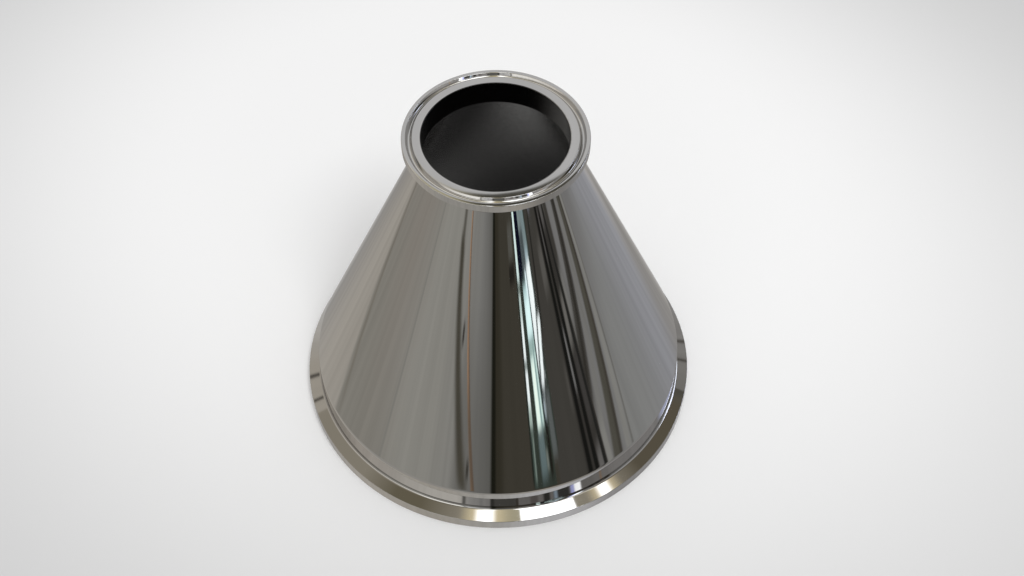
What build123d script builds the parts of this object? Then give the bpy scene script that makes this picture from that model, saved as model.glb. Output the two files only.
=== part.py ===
from build123d import *
import os
from math import radians, tan

# Sizes in millimetres. The fitting turns about Z, and the face of its large end lies at Z = 0.

# Whole fitting
overall_length = 187.0
wall = 2.1

# Large end: the flange overhangs the tube all round, and its groove is set in from its rim
large_tube_diameter = 203.2
large_ferrule_length = 23.2
large_flange_overhang = 7.1
large_rim_height = 6.4
large_groove_inset = 4.85

# Small end
small_tube_diameter = 76.2
small_ferrule_length = 12.7
small_flange_overhang = 7.4
small_rim_height = 4.2
small_groove_inset = 3.6

# Clamp flanges: the slope of the back is from level
back_angle = 20.0
root_fillet = 2.0

# Gasket grooves: flat floor, and side walls that slope from level
groove_width = 3.2
groove_depth = 1.6
groove_side_angle = 58.0

# Cone: polishing rounds the outward bend at its foot, and the inward one at its neck stays crisp
shoulder_radius = 6.0

# Outside radii of the tubes and the flanges' rims
large_tube = large_tube_diameter / 2
large_rim = large_tube + large_flange_overhang
small_tube = small_tube_diameter / 2
small_rim = small_tube + small_flange_overhang


def back_height(rim_height, overhang):
    """Distance from a flange's face to the corner where its sloped back meets the tube."""
    return rim_height + overhang * tan(radians(back_angle))


def wall_outline():
    """Half section of the wall: up the outside, over the small face and down the inside."""
    large_back = back_height(large_rim_height, large_flange_overhang)
    small_back = back_height(small_rim_height, small_flange_overhang)
    neck_height = overall_length - small_ferrule_length
    # Each corner: distance from the axis, height, rounding
    corners = [
        (large_tube - wall, 0, 0),
        (large_rim, 0, 0),
        (large_rim, large_rim_height, 0),
        (large_tube, large_back, root_fillet),
        (large_tube, large_ferrule_length, shoulder_radius),
        (small_tube, neck_height, 0),
        (small_tube, overall_length - small_back, root_fillet),
        (small_rim, overall_length - small_rim_height, 0),
        (small_rim, overall_length, 0),
        (small_tube - wall, overall_length, 0),
        (small_tube - wall, neck_height, 0),
        (large_tube - wall, large_ferrule_length, 0),
    ]
    points = [(radius, height) for radius, height, rounding in corners]
    roundings = [rounding for radius, height, rounding in corners]
    FilletPolyline(*points, radius=roundings, close=True)


def groove_section(middle, face_height, turn):
    """Cuts a gasket groove, open at the face: downwards as drawn, upwards after half a turn."""
    with Locations((middle, face_height)):
        Trapezoid(
            groove_width,
            groove_depth,
            groove_side_angle,
            rotation=turn,
            align=(Align.CENTER, Align.MIN),
            mode=Mode.SUBTRACT,
        )


with BuildPart() as reducer_body:
    with BuildSketch(Plane.XZ):
        with BuildLine():
            wall_outline()
        make_face()
        groove_section(large_rim - large_groove_inset, 0, turn=0)
        groove_section(small_rim - small_groove_inset, overall_length, turn=180)
    revolve(axis=Axis.Z)

os.makedirs("parts", exist_ok=True)
export_step(reducer_body.part, "parts/reducer_body.step")
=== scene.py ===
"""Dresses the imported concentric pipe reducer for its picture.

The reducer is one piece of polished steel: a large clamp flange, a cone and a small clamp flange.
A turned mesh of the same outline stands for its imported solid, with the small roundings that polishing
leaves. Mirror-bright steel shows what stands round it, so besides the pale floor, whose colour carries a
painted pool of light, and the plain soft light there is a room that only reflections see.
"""

import logging
import math
from dataclasses import dataclass, field
from enum import Enum
from typing import Any, Dict, List, Optional, Protocol, Sequence, Tuple, Union

import bpy
from mathutils import Matrix, Vector


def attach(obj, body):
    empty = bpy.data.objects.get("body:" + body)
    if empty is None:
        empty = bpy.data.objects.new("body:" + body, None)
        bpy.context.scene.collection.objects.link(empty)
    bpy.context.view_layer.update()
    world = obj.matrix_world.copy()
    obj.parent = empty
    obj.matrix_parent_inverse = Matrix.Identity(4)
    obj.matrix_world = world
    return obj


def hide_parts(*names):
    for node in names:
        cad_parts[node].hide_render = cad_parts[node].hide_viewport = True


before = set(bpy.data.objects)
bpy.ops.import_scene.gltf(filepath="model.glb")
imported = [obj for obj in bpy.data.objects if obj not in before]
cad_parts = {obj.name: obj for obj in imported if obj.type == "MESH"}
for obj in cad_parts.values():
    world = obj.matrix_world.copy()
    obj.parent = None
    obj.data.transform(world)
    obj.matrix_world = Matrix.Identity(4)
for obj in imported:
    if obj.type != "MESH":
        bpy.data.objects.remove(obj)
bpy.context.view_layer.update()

log = logging.getLogger("reducer")

MM = 0.001

Pair = Tuple[float, float]
Tone = Tuple[float, float, float]
Number = Union[int, float, "Value"]
Socket = bpy.types.NodeSocket

# What the steel gives back of the light that falls on it straight
STEEL_COLOUR: Tone = (0.46, 0.45, 0.435)


def linear(tone: Sequence[float]) -> Tone:
    """Turns a screen colour, 0 to 255, into linear light.

    Args:
        tone: Red, green and blue, 0 to 255.

    Returns:
        Red, green and blue as linear light, 0 to 1.
    """
    parts = [part / 255 for part in tone]
    made = [part / 12.92 if part <= 0.04045 else ((part + 0.055) / 1.055) ** 2.4 for part in parts]
    return (made[0], made[1], made[2])


def lit(tone: Sequence[float]) -> Tone:
    """The light that a place in the room sends, told by the screen colour that the steel shows for it.

    Args:
        tone: The colour on the steel, 0 to 255.

    Returns:
        Linear red, green and blue of the room there.
    """
    shown = linear(tone)
    return tuple(part / metal for part, metal in zip(shown, STEEL_COLOUR))


class Value:
    """A number in a node tree. Python's operators on it add Math nodes."""

    def __init__(self, board: "Board", socket: Socket) -> None:
        """Keeps the board and the socket that carries the number."""
        self.board = board
        self.socket = socket

    def math(self, operation: str, *others: Number, first: bool = True) -> "Value":
        """Adds one Math node.

        Args:
            operation: The Math node's operation.
            others: The other inputs, numbers or values.
            first: Whether this value is the first input, or comes after the others.

        Returns:
            The node's result.
        """
        inputs = [self, *others] if first else [*others, self]
        return self.board.number("ShaderNodeMath", {"operation": operation}, dict(enumerate(inputs)))

    def __add__(self, other: Number) -> "Value":
        """Sum."""
        return self.math("ADD", other)

    __radd__ = __add__

    def __sub__(self, other: Number) -> "Value":
        """Difference."""
        return self.math("SUBTRACT", other)

    def __rsub__(self, other: Number) -> "Value":
        """Difference, told from the right."""
        return self.math("SUBTRACT", other, first=False)

    def __mul__(self, other: Number) -> "Value":
        """Product."""
        return self.math("MULTIPLY", other)

    __rmul__ = __mul__

    def __truediv__(self, other: Number) -> "Value":
        """Quotient."""
        return self.math("DIVIDE", other)

    def __rtruediv__(self, other: Number) -> "Value":
        """Quotient, told from the right."""
        return self.math("DIVIDE", other, first=False)

    def __pow__(self, other: Number) -> "Value":
        """Power."""
        return self.math("POWER", other)

    def __abs__(self) -> "Value":
        """Size without sign."""
        return self.math("ABSOLUTE")

    def step(
        self,
        start: float,
        end: float,
        low: float = 0.0,
        high: float = 1.0,
        curve: str = "SMOOTHSTEP",
    ) -> "Value":
        """A step that is level outside its two ends.

        Args:
            start: Where it is still low.
            end: Where it has become high; it may lie below start.
            low: The result before start.
            high: The result after end.
            curve: The Map Range node's interpolation between the two ends.

        Returns:
            The stepped value.
        """
        sockets = {"Value": self, "From Min": start, "From Max": end, "To Min": low, "To Max": high}
        return self.board.number("ShaderNodeMapRange", {"interpolation_type": curve}, sockets)

    def near(self, middle: float, width: float, soft: float, strength: float = 1.0) -> "Value":
        """A band with soft edges.

        Args:
            middle: The band's middle.
            width: Its width between the middles of its edges.
            soft: How far each edge runs.
            strength: The result inside.

        Returns:
            The strength inside the band and 0 outside it.
        """
        return abs(self - middle).step((width + soft) / 2, (width - soft) / 2, 0.0, strength)


class Board:
    """A node tree, and the one way in which nodes are added to it."""

    def __init__(self, tree: bpy.types.NodeTree) -> None:
        """Empties the tree and keeps it."""
        self.tree = tree
        tree.nodes.clear()

    def node(
        self,
        kind: str,
        settings: Optional[Dict[str, Any]] = None,
        sockets: Optional[Dict[Union[int, str], Any]] = None,
    ) -> bpy.types.Node:
        """Adds a node.

        Args:
            kind: The node's type.
            settings: Its own settings; "stops" are a colour ramp's places and linear colours.
            sockets: Values or links for its inputs, by place or by identifier.

        Returns:
            The node.
        """
        made = self.tree.nodes.new(kind)
        for name, setting in (settings or {}).items():
            if name == "stops":
                self.set_stops(made.color_ramp, setting)
            else:
                setattr(made, name, setting)
        for key, given in (sockets or {}).items():
            socket = self.find(made.inputs, key)
            if isinstance(given, Value):
                self.tree.links.new(given.socket, socket)
            elif isinstance(given, Socket):
                self.tree.links.new(given, socket)
            elif isinstance(given, tuple) and socket.type == "RGBA" and len(given) == 3:
                socket.default_value = (*given, 1.0)
            else:
                socket.default_value = given
        return made

    def number(self, kind: str, settings: Dict[str, Any], sockets: Dict[Any, Any]) -> Value:
        """Adds a node and gives its first output as a value.

        Args:
            kind: The node's type.
            settings: Its own settings.
            sockets: Values or links for its inputs.

        Returns:
            The node's first output.
        """
        return Value(self, self.node(kind, settings, sockets).outputs[0])

    def mix(self, share: Number, under: Any, over: Any) -> Socket:
        """Lays one colour over another.

        Args:
            share: How much of the upper colour shows.
            under: The lower colour, a linear tone or a link.
            over: The upper colour, a linear tone or a link.

        Returns:
            The mixed colour.
        """
        sockets = {"Factor_Float": share, "A_Color": under, "B_Color": over}
        made = self.node("ShaderNodeMix", {"data_type": "RGBA"}, sockets)
        return self.find(made.outputs, "Result_Color")

    def ramp(self, place: Value, start: float, end: float, stops: Sequence[Tuple[float, Tone]]) -> Socket:
        """A colour that changes along a value.

        Args:
            place: The value.
            start: The value at the ramp's beginning.
            end: The value at its end.
            stops: Places in the value's own unit, with linear colours.

        Returns:
            The colour.
        """
        share = (place - start) / (end - start)
        marks = [((at - start) / (end - start), tone) for at, tone in stops]
        return self.node("ShaderNodeValToRGB", {"stops": marks}, {"Fac": share}).outputs["Color"]

    def scale(self, colour: Any, share: Value) -> Socket:
        """Makes a colour lighter or darker.

        Args:
            colour: The colour, a link.
            share: How many times as light.

        Returns:
            The changed colour.
        """
        sockets = {"Vector": colour, "Scale": share}
        return self.node("ShaderNodeVectorMath", {"operation": "SCALE"}, sockets).outputs["Vector"]

    def parts(self, place: Socket) -> List[Value]:
        """A place's three parts.

        Args:
            place: The place, a link.

        Returns:
            How far across, along and up it lies.
        """
        split = self.node("ShaderNodeSeparateXYZ", None, {0: place})
        return [Value(self, output) for output in split.outputs]

    def noise(self, place: Socket, scale: float = 1.0, detail: float = 2.0) -> Value:
        """Even noise from 0 to 1.

        Args:
            place: The place that it reads.
            scale: Its scale.
            detail: Its detail.

        Returns:
            The noise.
        """
        return self.number("ShaderNodeTexNoise", {}, {"Vector": place, "Scale": scale, "Detail": detail})

    @staticmethod
    def set_stops(ramp: bpy.types.ColorRamp, stops: Sequence[Tuple[float, Tone]]) -> None:
        """Gives a colour ramp its stops.

        Args:
            ramp: The ramp.
            stops: Places from 0 to 1, with linear colours.
        """
        while len(ramp.elements) > 1:
            ramp.elements.remove(ramp.elements[-1])
        first = ramp.elements[0]
        first.position = stops[0][0]
        first.color = (*stops[0][1], 1.0)
        for place, tone in stops[1:]:
            ramp.elements.new(place).color = (*tone, 1.0)

    @staticmethod
    def find(sockets: Any, key: Union[int, str]) -> Socket:
        """Finds a socket by its place or its identifier.

        Args:
            sockets: A node's inputs or outputs.
            key: The place, or the identifier.

        Returns:
            The socket.
        """
        if isinstance(key, int):
            return sockets[key]
        return next(socket for socket in sockets if socket.identifier == key)


@dataclass(frozen=True)
class MirrorSteel:
    """Polished stainless steel: mirror-bright, with the hair-fine rings of the last polish.

    Sizes are in metres.
    """

    name: str = "mirror_polished_steel"
    slot: str = "polished_steel"
    colour: Tone = STEEL_COLOUR
    roughness: float = 0.035
    ring_pitch: float = 0.0007
    ring_depth: float = 0.00000012
    ring_share: float = 0.3
    cloud_size: float = 0.03
    cloud_share: float = 0.2
    cloud_tint: float = 0.015
    # The inside is left duller and grainy, and in the neck its colour carries painted shade, dark on the
    # left
    inside_roughness: float = 0.2
    inside_start: float = 0.0006
    inside_end: float = 0.0003
    grain_size: float = 0.0016
    grain_share: float = 0.5
    grain_tint: float = 0.8
    painted_shade_left: float = 0.12
    painted_shade_right: float = 1.0
    painted_shade_turn: float = 0.4
    neck_radius: float = 0.036
    neck_height: float = 0.1743
    neck_fade: float = 0.001
    foot_radius: float = 0.0995
    foot_height: float = 0.0232

    def make(self) -> bpy.types.Material:
        """Builds the material.

        Returns:
            The finished material.
        """
        material = bpy.data.materials.new(self.name)
        material.use_nodes = True
        board = Board(material.node_tree)
        place = board.node("ShaderNodeTexCoord").outputs["Object"]
        across, along, up = board.parts(place)
        reach = (across * across + along * along) ** 0.5
        # Polishing rings: noise that changes up the fitting and outwards, and hardly round it
        ring_place = board.node(
            "ShaderNodeCombineXYZ", None, {0: reach / self.ring_pitch, 1: up / self.ring_pitch}
        )
        rings = board.noise(ring_place.outputs[0])
        clouds = board.noise(place, 1.0 / self.cloud_size)
        even = 1.0 - (self.ring_share + self.cloud_share) / 2
        polished = self.roughness * (even + self.ring_share * rings + self.cloud_share * clouds)
        bore = up.step(self.foot_height, self.neck_height, self.foot_radius, self.neck_radius, "LINEAR")
        inside = (reach - bore).step(self.inside_start, self.inside_end)
        grain = board.noise(place, 1.0 / self.grain_size)
        dull = self.inside_roughness * (1.0 - self.grain_share / 2 + self.grain_share * grain)
        rough = polished + inside * (dull - polished)
        tint = board.mix(clouds, self.shade(1.0 - self.cloud_tint), self.shade(1.0 + self.cloud_tint))
        # Painted shade: in the neck the steel's colour is darkened towards the left, for the dark that
        # the bore reflects
        neck = inside * up.step(self.neck_height - self.neck_fade, self.neck_height)
        side = across.step(self.painted_shade_turn * self.neck_radius, self.neck_radius)
        shaded = board.mix(side, self.shade(self.painted_shade_left), self.shade(self.painted_shade_right))
        tint = board.mix(neck, tint, shaded)
        tint = board.scale(tint, 1.0 + inside * (grain - 0.5) * self.grain_tint)
        relief = board.node(
            "ShaderNodeBump", None, {"Strength": 1.0, "Distance": self.ring_depth, "Height": rings}
        )
        shader = board.node(
            "ShaderNodeBsdfPrincipled",
            None,
            {
                "Base Color": tint,
                "Metallic": 1.0,
                "Roughness": rough,
                "Normal": relief.outputs["Normal"],
            },
        )
        board.node("ShaderNodeOutputMaterial", None, {"Surface": shader.outputs["BSDF"]})
        return material

    def shade(self, share: float) -> Tone:
        """The steel's colour, a little darker or lighter."""
        return tuple(part * share for part in self.colour)


class Face(Enum):
    """An end face of the reducer, with the way into the steel and the way the outline walks it."""

    LOWER = 1
    UPPER = -1


@dataclass(frozen=True)
class Corner:
    """A corner of the wall's outline, in millimetres, with the rounding that polishing gives it."""

    radius: float
    height: float
    rounding: float
    facets: int

    def point(self) -> Vector:
        """Its place in the section, in metres."""
        return Vector((self.radius * MM, 0.0, self.height * MM))


@dataclass
class ReducerBody:
    """The reducer: its section is drawn corner by corner and spun round the axis.

    Sizes are in millimetres, and the named ones are those of the part's source.
    """

    name: str = "reducer_body_polished"
    node: str = "reducer_body"
    body: str = "root"
    overall_length: float = 187.0
    wall: float = 2.1
    large_tube_diameter: float = 203.2
    large_ferrule_length: float = 23.2
    large_flange_overhang: float = 7.1
    large_rim_height: float = 6.4
    large_groove_inset: float = 4.85
    small_tube_diameter: float = 76.2
    small_ferrule_length: float = 12.7
    small_flange_overhang: float = 7.4
    small_rim_height: float = 4.2
    small_groove_inset: float = 3.6
    back_angle: float = 20.0
    root_fillet: float = 2.0
    groove_width: float = 3.2
    groove_depth: float = 1.6
    groove_side_angle: float = 58.0
    shoulder_radius: float = 6.0
    # Roundings that only the polished mesh has
    rim_edge: float = 0.3
    bore_edge: float = 0.18
    groove_lip: float = 0.25
    groove_corner: float = 1.0
    bottom_edge: float = 0.2
    neck_blend: float = 1.0
    inner_neck_edge: float = 0.5
    inner_foot_blend: float = 3.0
    steps_round: int = 720
    sectors: int = 8
    merge_section: float = 0.001
    merge_turned: float = 0.005
    finish: MirrorSteel = field(default_factory=MirrorSteel)

    def outline(self) -> List[Corner]:
        """The wall's corners, anticlockwise: under, up the outside, over the top and down the inside.

        Returns:
            The corners.
        """
        large_tube = self.large_tube_diameter / 2
        small_tube = self.small_tube_diameter / 2
        large_rim = large_tube + self.large_flange_overhang
        small_rim = small_tube + self.small_flange_overhang
        slope = math.tan(math.radians(self.back_angle))
        large_back = self.large_rim_height + self.large_flange_overhang * slope
        small_back = self.small_rim_height + self.small_flange_overhang * slope
        top = self.overall_length
        neck = top - self.small_ferrule_length
        return [
            Corner(large_tube - self.wall, 0.0, self.bottom_edge, 3),
            *self.groove(large_rim - self.large_groove_inset, 0.0, Face.LOWER),
            Corner(large_rim, 0.0, self.rim_edge, 4),
            Corner(large_rim, self.large_rim_height, self.rim_edge, 4),
            Corner(large_tube, large_back, self.root_fillet, 6),
            Corner(large_tube, self.large_ferrule_length, self.shoulder_radius, 8),
            Corner(small_tube, neck, self.neck_blend, 4),
            Corner(small_tube, top - small_back, self.root_fillet, 6),
            Corner(small_rim, top - self.small_rim_height, self.rim_edge, 4),
            Corner(small_rim, top, self.rim_edge, 4),
            *self.groove(small_rim - self.small_groove_inset, top, Face.UPPER),
            Corner(small_tube - self.wall, top, self.bore_edge, 3),
            Corner(small_tube - self.wall, neck, self.inner_neck_edge, 3),
            Corner(large_tube - self.wall, self.large_ferrule_length, self.inner_foot_blend, 5),
        ]

    def groove(self, middle: float, height: float, face: Face) -> List[Corner]:
        """A gasket groove's four corners.

        Args:
            middle: Distance of its middle from the axis.
            height: Height of the face that it is cut in.
            face: The lower face, walked outwards, or the upper one, walked inwards.

        Returns:
            The corners in the outline's order.
        """
        half = self.groove_width / 2
        foot = half - self.groove_depth / math.tan(math.radians(self.groove_side_angle))
        side = face.value
        depth = height + side * self.groove_depth
        return [
            Corner(middle - side * half, height, self.groove_lip, 3),
            Corner(middle - side * foot, depth, self.groove_corner, 6),
            Corner(middle + side * foot, depth, self.groove_corner, 6),
            Corner(middle + side * half, height, self.groove_lip, 3),
        ]

    def build(self) -> bpy.types.Object:
        """Turns the body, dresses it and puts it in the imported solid's place.

        Returns:
            The finished piece.
        """
        obj = self.turn()
        obj.data.materials.append(self.finish.make())
        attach(obj, self.body)
        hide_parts(self.node)
        log.info("%s: %d faces", obj.name, len(obj.data.polygons))
        return obj

    def turn(self) -> bpy.types.Object:
        """Draws the section and spins it round the axis.

        Returns:
            The turned mesh, shaded smooth.
        """
        bpy.ops.object.select_all(action="DESELECT")
        bpy.ops.mesh.primitive_plane_add(size=MM, location=(0.0, 0.0, 0.0))
        obj = bpy.context.object
        obj.name = self.name
        obj.data.name = self.name
        bpy.ops.object.mode_set(mode="EDIT")
        bpy.ops.mesh.merge(type="CENTER")
        self.draw_section(self.outline())
        bpy.ops.mesh.select_all(action="SELECT")
        bpy.ops.mesh.remove_doubles(threshold=self.merge_section * MM)
        # One sector is spun in fine steps and then repeated round the axis
        axis = {"center": (0.0, 0.0, 0.0), "axis": (0.0, 0.0, 1.0)}
        sector = math.tau / self.sectors
        bpy.ops.mesh.spin(steps=self.steps_round // self.sectors, angle=sector, **axis)
        bpy.ops.mesh.select_all(action="SELECT")
        bpy.ops.mesh.spin(steps=self.sectors - 1, dupli=True, angle=math.tau - sector, **axis)
        bpy.ops.mesh.select_all(action="SELECT")
        bpy.ops.mesh.remove_doubles(threshold=self.merge_turned * MM)
        bpy.ops.mesh.normals_make_consistent(inside=False)
        bpy.ops.object.mode_set(mode="OBJECT")
        bpy.ops.object.shade_smooth()
        weighted = obj.modifiers.new("true_flats", "WEIGHTED_NORMAL")
        weighted.mode = "FACE_AREA"
        weighted.weight = 50
        bpy.ops.object.modifier_apply(modifier=weighted.name)
        return obj

    def draw_section(self, corners: List[Corner]) -> None:
        """Draws the closed section from one vertex that stands at the origin.

        Args:
            corners: The outline's corners in order.
        """
        here = Vector((0.0, 0.0, 0.0))
        count = len(corners)
        start = None
        for place, corner in enumerate(corners):
            before = (corners[place - 1].point() - corner.point()).normalized()
            after = (corners[(place + 1) % count].point() - corner.point()).normalized()
            turned = math.pi - before.angle(after)
            length = corner.rounding * MM * math.tan(turned / 2)
            entry = corner.point() + before * length
            if start is None:
                bpy.ops.transform.translate(value=entry - here)
                start = entry
            else:
                bpy.ops.mesh.extrude_vertices_move(TRANSFORM_OT_translate={"value": entry - here})
            # An arc's centre stands off the corner on the line that halves it
            reach = math.hypot(length, corner.rounding * MM)
            centre = corner.point() + (before + after).normalized() * reach
            axis = before.cross(after).normalized()
            bpy.ops.mesh.spin(steps=corner.facets, angle=turned, center=centre, axis=axis)
            here = corner.point() + after * length
        bpy.ops.mesh.extrude_vertices_move(TRANSFORM_OT_translate={"value": start - here})


class Paint(Enum):
    """The room's plain colours, told by what the steel shows for them, 0 to 255."""

    PLASTER = (169, 168, 167)
    END_WALL = (164, 158, 151)
    WARM_GREY = (125, 120, 113)
    LEFT_GREY = (132, 130, 124)
    SHADED_GREY = (121, 118, 111)
    CORNER_GREY = (113, 112, 109)
    CORNER_DARK = (90, 89, 86)
    RIGHT_GREY = (118, 118, 116)
    RIGHT_PALE = (122, 122, 121)
    RIGHT_COOL = (128, 128, 131)
    RIGHT_SHADED = (108, 107, 106)
    DAYLIT = (220, 217, 211)
    PART_LIT = (197, 192, 185)
    LESS_LIT = (181, 174, 166)
    LEAST_LIT = (162, 156, 147)
    HALF_LIT = (172, 171, 169)
    UPPER_WARM = (147, 141, 131)
    UPPER_DARK = (84, 83, 80)
    UPPER_GREY = (128, 126, 124)
    UPPER_PALE = (155, 154, 153)
    UPPER_COOL = (142, 140, 139)
    UPPER_RIGHT = (108, 106, 102)
    SKYLIGHT = (400, 408, 430)
    CEILING = (125, 119, 107)
    CEILING_PALE = (140, 133, 124)
    CEILING_WARM = (155, 148, 125)
    CEILING_DIM = (93, 87, 72)
    CEILING_SHADED = (82, 76, 64)
    GROUND = (134, 131, 126)
    GROUND_PALE = (146, 144, 140)
    GROUND_WARM = (143, 138, 130)
    GROUND_BRIGHT = (162, 161, 161)
    GROUND_COOL = (119, 117, 116)
    GROUND_SHADED = (112, 109, 105)


# Paints in order, each with the places at which it shows whole
Tones = Tuple[Tuple[Paint, Tuple[float, ...]], ...]


@dataclass(frozen=True)
class View:
    """A direction from the steel into the room: its three parts, its bearing and its elevation.

    Bearing 0 looks towards the camera's side and grows to the right; both angles are in degrees.
    """

    board: Board
    across: Value
    ahead: Value
    up: Value
    bearing: Value
    elevation: Value

    def painted(self, place: Value, tones: Tones) -> Socket:
        """A colour that changes along a value.

        Args:
            place: The value.
            tones: The paints along it, in order.

        Returns:
            The colour.
        """
        stops = [(at, lit(paint.value)) for paint, places in tones for at in places]
        return self.board.ramp(place, stops[0][0], stops[-1][0], stops)


@dataclass(frozen=True)
class Strip:
    """A soft-edged strip of one tone in the room, placed by bearing and elevation in degrees.

    Its tone is what the steel shows for it. A leaning strip gains bearing as it falls, and its bearing
    is told at its middle height.
    """

    bearing: float
    width: float
    low: float
    high: float
    tone: Tone
    lean: float = 0.0
    soft: float = 0.6
    fade: float = 0.6
    strength: float = 1.0

    def lay(self, view: View, under: Any) -> Socket:
        """Lays the strip over a colour.

        Args:
            view: The direction.
            under: The colour so far.

        Returns:
            The colour with the strip.
        """
        middle = (self.low + self.high) / 2
        across = view.bearing + view.elevation * self.lean if self.lean else view.bearing
        beside = across.near(self.bearing + middle * self.lean, self.width, self.soft)
        between = view.elevation.near(middle, self.high - self.low, self.fade, self.strength)
        return view.board.mix(beside * between, under, lit(self.tone))


def rail(
    start: Pair,
    end: Pair,
    width: float,
    tone: Tone,
    soft: float = 0.6,
    fade: float = 0.6,
    strength: float = 1.0,
) -> Strip:
    """A strip that runs straight from a higher point to a lower one.

    Args:
        start: Bearing and elevation of its upper end.
        end: Bearing and elevation of its lower end.
        width: Its width in bearing.
        tone: What the steel shows for it.
        soft: How far its long edges run.
        fade: How far its ends run.
        strength: How much of what lies behind it hides.

    Returns:
        The strip.
    """
    lean = (end[0] - start[0]) / (start[1] - end[1])
    return Strip((start[0] + end[0]) / 2, width, end[1], start[1], tone, lean, soft, fade, strength)


class Fixture(Protocol):
    """Something in the room that is laid strip by strip."""

    def strips(self) -> List[Strip]:
        """Its strips, from back to front."""


@dataclass(frozen=True)
class PaleWalls:
    """The walls all round up to where daylight reaches them, told by the tone at each bearing."""

    tones: Tones = (
        (Paint.END_WALL, (-180, -150)),
        (Paint.WARM_GREY, (-124, -84)),
        (Paint.LEFT_GREY, (-55, -40)),
        (Paint.CORNER_GREY, (-14,)),
        (Paint.CORNER_DARK, (-6, 56)),
        (Paint.RIGHT_SHADED, (62,)),
        (Paint.RIGHT_GREY, (76,)),
        (Paint.RIGHT_PALE, (93,)),
        (Paint.RIGHT_COOL, (116, 138)),
        (Paint.END_WALL, (160, 180)),
    )

    def lay(self, view: View) -> Socket:
        """Lays the walls.

        Args:
            view: The direction.

        Returns:
            The walls' colour.
        """
        colour = view.painted(view.bearing, self.tones)
        for strip in self.strips():
            colour = strip.lay(view, colour)
        return colour

    def strips(self) -> List[Strip]:
        """The shading low on the left, the seam beside it, and the shading high on the right.

        Returns:
            The strips, from back to front.
        """
        return [
            Strip(-84, 56, -40, -20, Paint.SHADED_GREY.value, soft=16, fade=10),
            rail((-126, -21.4), (-98.4, -26.8), 5, (104, 99, 90), soft=5, fade=1.5, strength=0.7),
            Strip(-64.5, 1.2, -60, 14, (112, 111, 106), soft=1, strength=0.6),
            Strip(-13, 22, -40, -9, (80, 79, 75), soft=6, fade=7, strength=0.5),
            Strip(90, 40, -18, 16, Paint.RIGHT_SHADED.value, soft=16, fade=5),
        ]


@dataclass(frozen=True)
class UpperWalls:
    """The walls' upper part, where daylight falls, with the skylight and what stands against it."""

    foot: float = 14.5
    foot_soft: float = 1.5
    upright_foot: float = 10.0
    upright_head: float = 42.0
    shelf_edge: Tone = (66, 63, 58)
    tones: Tones = (
        (Paint.PLASTER, (-180, -150)),
        (Paint.UPPER_WARM, (-131, -116)),
        (Paint.LEAST_LIT, (-100,)),
        (Paint.LESS_LIT, (-84,)),
        (Paint.PART_LIT, (-60,)),
        (Paint.DAYLIT, (-35, -21)),
        (Paint.HALF_LIT, (-16,)),
        (Paint.UPPER_PALE, (-6,)),
        (Paint.UPPER_GREY, (-3, 50)),
        (Paint.UPPER_COOL, (60, 92)),
        (Paint.UPPER_RIGHT, (124,)),
        (Paint.UPPER_GREY, (146,)),
        (Paint.PLASTER, (168, 180)),
    )

    def lay(self, view: View, under: Any) -> Socket:
        """Lays the upper walls over the lower ones.

        Args:
            view: The direction.
            under: The colour so far.

        Returns:
            The colour with the upper walls.
        """
        colour = view.painted(view.bearing, self.tones)
        for strip in self.strips():
            colour = strip.lay(view, colour)
        above = view.elevation.step(self.foot - self.foot_soft, self.foot + self.foot_soft)
        return view.board.mix(above, under, colour)

    def strips(self) -> List[Strip]:
        """Beams, panes and shelves against the upper walls.

        Returns:
            The strips, from back to front.
        """
        # Beams and panes from left to right, the wider ones first: bearing, width, tone and soft edge
        uprights = (
            (-18.4, 1.8, (112, 111, 108), 1.4),
            (-9.6, 1.4, (150, 150, 149), 1.2),
            (2.0, 13.6, Paint.UPPER_DARK.value, 1.6),
            (-4.0, 1.8, (60, 60, 57), 1.4),
            (8.6, 1.2, (70, 66, 60), 1.0),
            (17.2, 4.0, (106, 102, 100), 1.6),
            (23.8, 3.4, (58, 58, 55), 1.6),
            (31.6, 8.4, (66, 66, 64), 1.6),
            (28.5, 1.8, (154, 170, 184), 1.4),
            (38.3, 3.4, (200, 206, 262), 1.4),
            (40.4, 3.6, (325, 328, 332), 1.4),
            (53.8, 1.2, (146, 128, 112), 1.0),
        )
        return [
            Strip(-76, 64, 28, 47, (150, 145, 137), soft=14, fade=4),
            *(
                Strip(at, width, self.upright_foot, self.upright_head, tone, soft=soft)
                for at, width, tone, soft in uprights
            ),
            # The skylight: two bright bands and the cool glow between them
            Strip(109, 18, 18, 35, (175, 180, 205), soft=8, fade=3),
            Strip(111, 24, 12, 20.5, Paint.SKYLIGHT.value, soft=7, fade=2),
            Strip(109, 18, 35, 39.5, Paint.SKYLIGHT.value, soft=7, fade=2),
            # Shelf edges far to the left and right
            Strip(-129, 9, 35.3, 36, self.shelf_edge, soft=2),
            Strip(-122.6, 9, 40.1, 40.7, self.shelf_edge, soft=2),
            Strip(136.2, 9, 29.7, 30.3, self.shelf_edge, soft=2),
            Strip(131.3, 9, 33.3, 33.8, self.shelf_edge, soft=2, fade=0.5),
        ]


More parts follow.
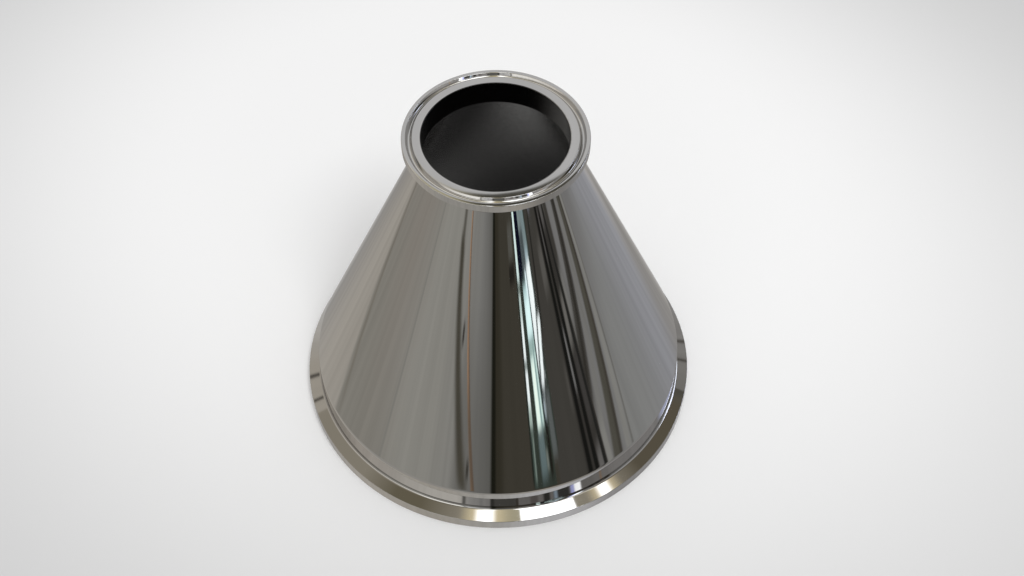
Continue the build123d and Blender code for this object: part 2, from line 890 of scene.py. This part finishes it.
@dataclass(frozen=True)
class StairRail:
    """The brown handrail on the left wall, with its brackets and its broad soft shadow."""

    wood: Tone = (150, 118, 92)
    low_wood: Tone = (90, 78, 66)
    underside: Tone = (84, 68, 54)
    bracket: Tone = (50, 48, 44)
    shade: Tone = (65, 62, 54)

    def strips(self) -> List[Strip]:
        """Shadow first, then the rail and its brackets.

        Returns:
            The strips, from back to front.
        """
        return [
            rail((-36.2, -6.2), (-19, -14.8), 4.6, self.shade, soft=3.5),
            rail((-37.4, -4.4), (-35.4, -6.8), 3.2, self.shade, soft=3, strength=0.8),
            rail((-30.2, -3.6), (-12.9, -15.2), 1.1, self.wood, soft=0.7),
            rail((-19.2, -11), (-12.9, -15.2), 1.2, self.low_wood, fade=3),
            rail((-29.5, -3.6), (-12.2, -15.2), 0.8, self.underside, soft=0.7, strength=0.85),
            Strip(-26, 1.5, -9.5, -8.6, self.bracket, soft=0.8, fade=0.5),
            Strip(-17, 1.4, -14.2, -13.5, self.bracket, soft=0.8, fade=0.5),
        ]


@dataclass(frozen=True)
class DarkWall:
    """The dark wall round the window, with the black corner at its left and a wall plate."""

    tone: Tone = (57, 54, 47)
    near_corner: Tone = (47, 44, 36)
    black: Tone = (24, 24, 18)
    right_part: Tone = (60, 58, 54)

    def strips(self) -> List[Strip]:
        """The wall and what is on it.

        Returns:
            The strips, from back to front.
        """
        return [
            Strip(26.8, 60.6, -60, 30, self.tone),
            Strip(-1, 5, -60, 30, self.near_corner, soft=5),
            Strip(-3.4, 2.6, -60, 30, self.black, soft=1.6),
            Strip(38, 15, -60, 30, self.right_part, soft=1),
            Strip(13, 4.6, -6.2, -5.4, (32, 30, 26), fade=0.5),
            Strip(13.2, 4.4, -5.2, -3.8, (78, 77, 72), soft=0.9),
            Strip(39, 3, -5.3, -4.2, (116, 118, 130), soft=1),
            rail((36.3, -5.2), (33, -9.6), 1.5, (30, 30, 27), soft=1.2, fade=0.8, strength=0.85),
            Strip(43, 4.6, -9.2, -7.4, (84, 82, 78), soft=1.6, fade=1.2),
            Strip(44.6, 2.4, -14.3, -12.6, (75, 73, 69), soft=2, fade=1, strength=0.8),
        ]


@dataclass(frozen=True)
class StairWindow:
    """The bright window beside the stair: two tall panes of daylight behind a dark frame."""

    frame_tone: Tone = (30, 34, 30)
    shaded_frame: Tone = (48, 54, 48)
    bar: Tone = (34, 44, 44)
    cyan: Tone = (216, 236, 232)
    glass: Tone = (186, 214, 214)
    bright_glass: Tone = (222, 248, 246)
    sky: Tone = (242, 250, 250)
    night: Tone = (12, 14, 28)
    grey: Tone = (114, 128, 130)
    top: float = 30.0

    def strips(self) -> List[Strip]:
        """Panes, bars and frame.

        Returns:
            The strips, from back to front.
        """
        return [
            Strip(24.7, 14.6, -14.2, self.top, self.shaded_frame, soft=0.5),
            Strip(23, 11.3, -15.8, -14.2, self.shaded_frame, soft=0.5),
            *self.first_light(),
            *self.left_pane(),
            *self.right_pane(),
            # The bar between the panes, and the frame's left edge
            Strip(26.4, 0.8, -12.8, -7.9, self.bar, soft=0.4),
            Strip(26.4, 0.8, -7.9, -6.6, (130, 146, 148), soft=0.5),
            Strip(27.1, 1.3, -14.9, -12.6, (28, 27, 22), soft=0.7),
            Strip(17.15, 0.9, -14.5, self.top, self.frame_tone, soft=0.4, strength=0.95),
        ]

    def first_light(self) -> List[Strip]:
        """The narrow light beside the left pane.

        Returns:
            The strips, from back to front.
        """
        return [
            Strip(18.6, 2, -6.5, self.top, self.cyan, soft=0.4),
            Strip(18.4, 1.5, -12.2, -6.5, self.sky, soft=0.4, fade=0.5),
            Strip(18.4, 1.6, -8, -6.9, (178, 198, 192), soft=0.5, fade=0.9),
            Strip(18.4, 2, -6.95, -6.4, (98, 108, 102), soft=0.5, fade=0.3),
            Strip(18.4, 1.6, -10, -9.6, (100, 112, 104), soft=0.5, fade=0.3),
            Strip(18.4, 1.6, -12.4, -11.4, (160, 178, 168), soft=0.5, fade=0.8),
            Strip(18.4, 1.6, -14.5, -12.3, (66, 78, 72), soft=0.5),
            Strip(18.65, 0.6, -14.4, -12.6, (116, 128, 120), soft=0.4, fade=0.4),
        ]

    def left_pane(self) -> List[Strip]:
        """The left pane, from its dark head to its dim foot.

        Returns:
            The strips, from back to front.
        """
        return [
            Strip(24.9, 5.6, -6.6, self.top, (70, 77, 79), soft=0.8),
            Strip(25.8, 6.6, -4.8, self.top, (118, 130, 130), soft=1, fade=0.5),
            Strip(21.8, 3.7, -6.6, self.top, self.night),
            Strip(24.05, 4.3, -9.2, -6.9, self.glass, soft=0.5),
            Strip(24.05, 4.3, -8.9, -7.5, self.bright_glass, soft=0.5),
            Strip(25.5, 1.3, -7.5, -6.5, (232, 248, 252), fade=0.4),
            Strip(24.05, 4.3, -12.7, -9.65, (196, 220, 214), soft=0.5, fade=0.5),
            Strip(24.4, 5, -9.65, -9.2, (150, 176, 170), soft=0.5, fade=0.4),
            Strip(23, 1.8, -12.6, -10, (236, 252, 240), soft=0.7, fade=0.7),
            Strip(24.65, 0.8, -12.7, -9.3, (130, 156, 152), soft=0.5),
            Strip(23.2, 3.2, -14.6, -12.8, (92, 106, 107), soft=1.2, fade=0.9),
            Strip(25.4, 1.1, -14.5, -13.7, (108, 114, 108), fade=0.4),
        ]

    def right_pane(self) -> List[Strip]:
        """The right pane, whose foot lies in shade.

        Returns:
            The strips, from back to front.
        """
        return [
            Strip(29.2, 3.6, -6.3, self.top, self.grey, soft=1.2),
            Strip(28.8, 2.6, -6.6, -5.9, (152, 172, 178), soft=1.2, fade=0.5),
            Strip(28.7, 3.9, -11.2, -6.45, self.sky, soft=0.5, fade=0.4),
            Strip(27.6, 1.6, -11.9, -10.9, (58, 62, 60)),
            Strip(27.5, 1, -12.7, -11.9, (160, 172, 178), fade=0.4),
            Strip(28.4, 1, -12.4, -11.2, (125, 132, 133)),
            Strip(30, 2.6, -14.4, -11.8, (84, 88, 87), soft=1),
            # The leaning band of light and the dark lines along it
            rail((31.8, -8.9), (28.4, -11.4), 2.1, self.sky, soft=0.5, fade=0.4),
            rail((31.9, -7.5), (26.9, -11.2), 1.1, (58, 64, 62), soft=0.5),
            rail((31.8, -9.8), (28.8, -12.1), 0.8, (36, 38, 36), soft=0.5),
        ]


@dataclass(frozen=True)
class StairPosts:
    """Three black posts in front of the flight of stairs, with light between them."""

    black: Tone = (22, 22, 20)
    head: float = -6.2

    def strips(self) -> List[Strip]:
        """The light between the posts, then the posts.

        Returns:
            The strips, from back to front.
        """
        return [
            Strip(51, 12, -60, self.head, (50, 48, 45), soft=1),
            Strip(53.4, 3, -8.2, -6.8, (84, 82, 80), soft=1.2, fade=0.8),
            Strip(48.8, 1.6, -9, -6.9, (74, 72, 70), soft=0.9, fade=0.8),
            Strip(48.9, 1.4, -14.3, -11.9, (104, 103, 102), soft=0.9, fade=0.7),
            rail((53.8, -11.2), (52.9, -13.2), 2.8, (100, 98, 94), soft=1.4, fade=1),
            Strip(53.6, 2.8, -16.4, -13.6, (58, 56, 54), soft=1.4, fade=1),
            Strip(53.6, 3, -30, -17.5, (92, 90, 88), soft=1.2, fade=1),
            Strip(47, 2.3, -60, self.head, self.black, soft=1),
            Strip(50.6, 2.1, -60, self.head - 1, self.black, soft=0.9),
            Strip(55.6, 1.6, -60, self.head - 1.6, (32, 32, 30), soft=1),
        ]


@dataclass(frozen=True)
class StairTreads:
    """The treads past the posts: light tops and dark fronts that fan out and rise to the right."""

    front: Tone = (59, 57, 53)
    foot: Tone = (44, 42, 38)
    next_front: Tone = (72, 70, 63)
    next_foot: Tone = (58, 55, 49)
    top: Tone = (110, 109, 106)
    lit_top: Tone = (122, 121, 117)

    def strips(self) -> List[Strip]:
        """Fronts and tops by turns, from the lowest tread to the highest.

        Returns:
            The strips, from back to front.
        """
        return [
            rail((62, -5.5), (57.6, -10.9), 5, (56, 54, 50), soft=2.5, fade=1),
            rail((78, -11.2), (54, -19.3), 5, self.top, soft=2),
            Strip(58.4, 3.4, -30, -17.5, self.lit_top, soft=1.4, fade=1.2),
            Strip(58.2, 2.4, -13, -11.2, self.top, soft=1.4, fade=0.8),
            rail((76, -9.4), (53.9, -16.4), 8.4, self.front, soft=2.4),
            rail((73, -10.6), (53.5, -16.6), 2.8, self.foot, soft=2.4),
            rail((84.6, -11.2), (60.7, -21), 7.6, self.next_front, soft=2.2),
            rail((86.6, -11.4), (63.7, -21), 2.6, self.next_foot, soft=2.2),
            rail((87, -12.2), (68.6, -22.4), 4, self.lit_top, soft=2),
            rail((88.7, -12.2), (71.9, -22.8), 1.3, (97, 96, 92), soft=1),
        ]


@dataclass(frozen=True)
class CeilingLight:
    """One long light: how far sideways its middle is for its height, its width and its soft edges."""

    aside: float
    width: float
    soft: float
    halo: float


@dataclass(frozen=True)
class Ceiling:
    """The dim ceiling and its long lights, told by how far sideways each place is for its height."""

    edge: float = 47.4
    left_droop: float = 7.0
    right_droop: float = 12.4
    tones: Tones = (
        (Paint.CEILING_PALE, (-1.3,)),
        (Paint.CEILING, (-0.9, -0.62)),
        (Paint.CEILING_DIM, (-0.46, -0.34)),
        (Paint.CEILING, (-0.17,)),
        (Paint.CEILING_WARM, (-0.1, 0.05)),
        (Paint.CEILING, (0.38, 0.5)),
        (Paint.CEILING_SHADED, (0.64, 0.95)),
        (Paint.CORNER_GREY, (1.15,)),
    )
    lights: Tuple[CeilingLight, ...] = (
        CeilingLight(-0.065, 0.064, 0.045, 0.07),
        CeilingLight(0.202, 0.234, 0.012, 0.0),
        CeilingLight(0.459, 0.042, 0.045, 0.055),
    )
    glow: Tone = (205, 190, 155)
    white: Tone = (325, 325, 325)
    near_end: float = -0.6
    far_end: float = 0.3
    end_soft: float = 0.06
    halo_soft: float = 1.6
    # The pale part overhead and the shaded far part: where each begins and is full, ahead and aside
    overhead: Tone = (205, 201, 194)
    overhead_ahead: Pair = (0.02, 0.2)
    overhead_right: Pair = (-0.08, -0.12)
    overhead_left: Pair = (-0.5, -0.35)
    far_shade: Tone = (66, 64, 58)
    far_ahead: Pair = (0.5, 0.7)
    far_aside: Pair = (-0.06, -0.01)
    # Where its edge against the far wall stands higher: middle, width, soft edge and rise
    left_bulge: Tuple[float, float, float, float] = (-0.03, 0.05, 0.06, 0.72)
    right_bulge: Tuple[float, float, float, float] = (0.045, 0.06, 0.03, 0.5)
    edge_soft: float = 0.2
    least_height: float = 0.05

    def lay(self, view: View, under: Any) -> Socket:
        """Lays the ceiling over the walls.

        Args:
            view: The direction.
            under: The colour so far.

        Returns:
            The colour with the ceiling.
        """
        board = view.board
        height = view.up.math("MAXIMUM", self.least_height)
        aside = view.across / height
        ahead = view.ahead / height
        colour = view.painted(aside, self.tones)
        middle = (self.near_end + self.far_end) / 2
        reach = ahead.near(middle, self.far_end - self.near_end, self.end_soft)
        for light in self.lights:
            if light.halo:
                halo = aside.near(light.aside, light.width + light.halo, self.halo_soft * light.halo)
                colour = board.mix(halo * reach, colour, lit(self.glow))
            lamp = aside.near(light.aside, light.width, light.soft)
            colour = board.mix(lamp * reach, colour, lit(self.white))
        left = ahead.step(*self.overhead_ahead) * aside.step(*self.overhead_right)
        left = left * aside.step(*self.overhead_left)
        colour = board.mix(left, colour, lit(self.overhead))
        far = ahead.step(*self.far_ahead) * aside.step(*self.far_aside)
        colour = board.mix(far, colour, lit(self.far_shade))
        raised = view.across.near(*self.left_bulge) + view.across.near(*self.right_bulge)
        aslant = (view.across * self.right_droop).math("MAXIMUM", view.across * -self.left_droop)
        lowered = view.elevation + aslant - raised
        share = lowered.step(self.edge - self.edge_soft, self.edge + self.edge_soft)
        return board.mix(share, under, colour)


@dataclass(frozen=True)
class Ground:
    """The pale ground below the walls: farther parts first, then what lies close to the steel."""

    # The line where it meets the walls: a low corner on the left, level in front, falling on the right
    corner: float = -98.0
    corner_depth: float = -28.2
    left_rise: float = -0.19
    right_rise: float = 0.17
    highest: float = -22.0
    front: float = -31.0
    front_bearings: Pair = (-55.0, -35.0)
    right_start: float = 40.0
    right_fall: float = 0.16
    lowest: float = -36.0
    crisp: float = 1.2
    blurred: float = 7.0
    blur_bearings: Pair = (20.0, 90.0)
    near_start: float = -48.0
    near_end: float = -56.0
    far_tones: Tones = (
        (Paint.GROUND_PALE, (-180,)),
        (Paint.GROUND_SHADED, (-155,)),
        (Paint.GROUND_WARM, (-125, -108)),
        (Paint.GROUND, (-70, 0)),
        (Paint.GROUND_WARM, (25,)),
        (Paint.GROUND_SHADED, (60,)),
        (Paint.GROUND_COOL, (115,)),
        (Paint.GROUND_SHADED, (155,)),
        (Paint.GROUND_PALE, (180,)),
    )
    near_tones: Tones = (
        (Paint.GROUND_WARM, (-180,)),
        (Paint.GROUND_COOL, (-153,)),
        (Paint.GROUND_WARM, (-100, -40)),
        (Paint.GROUND_PALE, (0,)),
        (Paint.GROUND_BRIGHT, (24, 45)),
        (Paint.GROUND_COOL, (85, 130)),
        (Paint.GROUND_PALE, (155,)),
        (Paint.GROUND_WARM, (180,)),
    )

    def lay(self, view: View, under: Any) -> Socket:
        """Lays the ground over the walls' feet.

        Args:
            view: The direction.
            under: The colour so far.

        Returns:
            The colour with the ground.
        """
        far = view.painted(view.bearing, self.far_tones)
        near = view.painted(view.bearing, self.near_tones)
        tone = view.board.mix(view.elevation.step(self.near_start, self.near_end), far, near)
        beside = view.bearing - self.corner
        rise = (beside * self.left_rise).math("MAXIMUM", beside * self.right_rise)
        left = (rise + self.corner_depth).math("MINIMUM", self.highest)
        right = self.front - (view.bearing - self.right_start) * self.right_fall
        right = right.math("MAXIMUM", self.lowest)
        line = left + (self.front - left) * view.bearing.step(*self.front_bearings)
        line = line.math("MINIMUM", right)
        soft = view.bearing.step(*self.blur_bearings, self.crisp, self.blurred)
        return view.board.mix(((line - view.elevation) / soft).step(-0.5, 0.5), under, tone)


@dataclass(frozen=True)
class Room:
    """What the steel shows: a pale room with a stair and a window, seen only by reflections."""

    walls: PaleWalls = PaleWalls()
    upper_walls: UpperWalls = UpperWalls()
    ground: Ground = Ground()
    ceiling: Ceiling = Ceiling()
    fixtures: Tuple[Fixture, ...] = (StairRail(), DarkWall(), StairWindow(), StairTreads(), StairPosts())
    streak_pitch: float = 3.2
    streak_share: float = 0.36
    streak_rise: float = 0.03
    streak_detail: float = 5.0

    def colour(self, board: Board) -> Socket:
        """Builds the room's colour for every direction.

        Args:
            board: The world's tree.

        Returns:
            The colour.
        """
        across, ahead, up = board.parts(board.node("ShaderNodeTexCoord").outputs["Generated"])
        bearing = across.math("ARCTAN2", ahead * -1.0).math("DEGREES")
        elevation = up.math("ARCSINE").math("DEGREES")
        view = View(board, across, ahead, up, bearing, elevation)
        colour = self.walls.lay(view)
        for fixture in self.fixtures:
            for strip in fixture.strips():
                colour = strip.lay(view, colour)
        colour = self.upper_walls.lay(view, colour)
        colour = self.ground.lay(view, colour)
        return self.ceiling.lay(view, self.streak(view, colour))

    def streak(self, view: View, colour: Socket) -> Socket:
        """Lays faint upright streaks over the walls, as their uneven daylight draws on the steel.

        Args:
            view: The direction.
            colour: The colour so far.

        Returns:
            The streaked colour.
        """
        flat = (view.across * view.across + view.ahead * view.ahead) ** 0.5
        cycles = math.degrees(1.0) / self.streak_pitch
        place = view.board.node("ShaderNodeCombineXYZ", None, {
            0: view.across / flat * cycles,
            1: view.ahead / flat * cycles,
            2: view.elevation * self.streak_rise,
        })
        noise = view.board.noise(place.outputs[0], detail=self.streak_detail)
        return view.board.scale(colour, 1.0 + (noise - 0.5) * self.streak_share)


class Surface(Enum):
    """How a floor's colour shows: matt, lit by the light that falls on it, or glowing by itself, with no
    lamp, as painted shade.
    """

    MATT = "ShaderNodeBsdfDiffuse"
    GLOWING = "ShaderNodeEmission"


@dataclass(frozen=True)
class SoftOval:
    """A floor's painted light or shade: its colour is even inside an oval and dimmer away from it. Its
    lengths are in metres.
    """

    name: str
    bright: float
    dim: float
    middle: Pair
    start: float
    end: float
    reach: Pair = (1.0, 1.0)
    turn: float = 0.0
    surface: Surface = Surface.MATT

    def make(self) -> bpy.types.Material:
        """Builds the material.

        Returns:
            The finished material.
        """
        material = bpy.data.materials.new(self.name)
        material.use_nodes = True
        board = Board(material.node_tree)
        across, along, _ = board.parts(board.node("ShaderNodeTexCoord").outputs["Object"])
        beside = across - self.middle[0]
        behind = along - self.middle[1]
        cosine = math.cos(math.radians(self.turn))
        sine = math.sin(math.radians(self.turn))
        aside = (beside * cosine + behind * sine) / self.reach[0]
        away = (behind * cosine - beside * sine) / self.reach[1]
        share = ((aside * aside + away * away) ** 0.5).step(self.start, self.end)
        colour = board.mix(share, (self.bright,) * 3, (self.dim,) * 3)
        shader = board.node(self.surface.value, None, {"Color": colour})
        board.node("ShaderNodeOutputMaterial", None, {"Surface": shader.outputs[0]})
        return material


@dataclass(frozen=True)
class Studio:
    """The pale floor with its painted pool of light, the soft light, the camera, and the room that only
    reflections see.

    The floor's colour carries a painted pool of light: brightest in a broad oval round the reducer,
    dimming softly away from it. What the bore shows of the floor inside is a glowing disc of painted
    shade: dim, and dimmer away from one place.
    """

    floor_size: float = 40.0
    # Painted pool of light: the floor's colour is brightest in an oval round the reducer and dims away
    # from it
    floor_light_pool: SoftOval = SoftOval(
        "pale_floor_painted_light", 0.955, 0.64, (-0.009, 0.148), start=0.6, end=1.65, reach=(0.3, 0.253), turn=-20.9
    )
    inside_radius: float = 0.0993
    inside_height: float = 0.0001
    inside_sides: int = 96
    # Painted shade: a disc that glows though it is no lamp, seen only by reflections, stands for the
    # shadowed floor inside the foot
    inside_painted_shade: SoftOval = SoftOval(
        "floor_inside_painted_shade", 0.174, 0.024, (-0.0516, 0.0391), 0.0207, 0.0734, surface=Surface.GLOWING
    )
    world_share: float = 0.74
    background: float = 0.68
    lamp_place: Tuple[float, float, float] = (0.575, -1.0, 2.08)
    lamp_size: float = 0.65
    # The camera: place in metres, turn, fall and roll in degrees, lens and film in millimetres
    camera_place: Tuple[float, float, float] = (0.0, -0.48131, 0.67779)
    camera_turn: float = -0.9243
    camera_fall: float = 51.6639
    camera_roll: float = 0.04
    lens: float = 50.22
    film: float = 36.0
    room: Room = Room()

    def build(self) -> None:
        """Builds everything round the reducer."""
        self.lay_floor()
        self.hang_lamp()
        self.light_world()
        self.set_camera()

    def lay_floor(self) -> None:
        """Lays the pale floor, with its painted pool of light, which reflections don't see, and inside
        the foot the glowing disc of painted shade that only reflections see.
        """
        bpy.ops.object.select_all(action="DESELECT")
        bpy.ops.mesh.primitive_plane_add(size=self.floor_size, location=(0.0, 0.0, 0.0))
        floor = bpy.context.object
        floor.name = "floor"
        floor.visible_glossy = False
        floor.data.materials.append(self.floor_light_pool.make())
        # Painted shade inside the foot: a glowing disc that only reflections see
        bpy.ops.mesh.primitive_circle_add(
            vertices=self.inside_sides,
            radius=self.inside_radius,
            fill_type="NGON",
            location=(0.0, 0.0, self.inside_height),
        )
        shade_patch = bpy.context.object
        shade_patch.name = "floor_inside_painted_shade"
        shade_patch.visible_camera = False
        shade_patch.data.materials.append(self.inside_painted_shade.make())

    def hang_lamp(self) -> None:
        """Hangs one soft lamp to the right, in front and above."""
        place = Vector(self.lamp_place)
        data = bpy.data.lights.new("soft_lamp", "AREA")
        data.shape = "SQUARE"
        data.size = self.lamp_size
        # World and lamp together light the level floor by 1, the lamp's light coming in aslant
        data.energy = (1.0 - self.world_share) * math.pi ** 2 * place.length ** 3 / place.z
        lamp = bpy.data.objects.new("soft_lamp", data)
        lamp.matrix_world = Matrix.Translation(place) @ place.to_track_quat("Z", "Y").to_matrix().to_4x4()
        lamp.visible_glossy = False
        bpy.context.scene.collection.objects.link(lamp)

    def light_world(self) -> None:
        """Lights the studio evenly, and shows the room to reflections alone."""
        world = bpy.data.worlds.new("studio_world")
        bpy.context.scene.world = world
        world.use_nodes = True
        board = Board(world.node_tree)
        path = board.node("ShaderNodeLightPath")
        looked = Value(board, path.outputs["Is Camera Ray"])
        through = Value(board, path.outputs["Is Transmission Ray"])
        pale = (self.background,) * 3
        plain = board.node("ShaderNodeBackground", None, {
            "Color": board.mix(looked.math("MAXIMUM", through), (self.world_share,) * 3, pale),
        })
        seen = board.node("ShaderNodeBackground", None, {"Color": self.room.colour(board)})
        either = board.node("ShaderNodeMixShader", None, {
            0: path.outputs["Is Glossy Ray"],
            1: plain.outputs[0],
            2: seen.outputs[0],
        })
        board.node("ShaderNodeOutputWorld", None, {"Surface": either.outputs[0]})
        world.cycles.sampling_method = "NONE"
        log.info("world: %d nodes", len(world.node_tree.nodes))

    def set_camera(self) -> None:
        """Puts the camera where the photograph was taken from."""
        data = bpy.data.cameras.new("camera")
        data.lens = self.lens
        data.sensor_width = self.film
        data.clip_start = 0.01
        data.clip_end = 100.0
        camera = bpy.data.objects.new("camera", data)
        camera.matrix_world = (
            Matrix.Translation(self.camera_place)
            @ Matrix.Rotation(math.radians(self.camera_turn), 4, "Z")
            @ Matrix.Rotation(math.radians(90.0 - self.camera_fall), 4, "X")
            @ Matrix.Rotation(math.radians(self.camera_roll), 4, "Z")
        )
        bpy.context.scene.collection.objects.link(camera)
        bpy.context.scene.camera = camera


def main() -> None:
    """Builds the reducer and the studio and reports them."""
    logging.basicConfig(level=logging.INFO, format="%(name)s: %(message)s")
    bpy.context.scene.view_settings.view_transform = "Standard"
    ReducerBody().build()
    Studio().build()


if __name__ == "__main__":
    main()
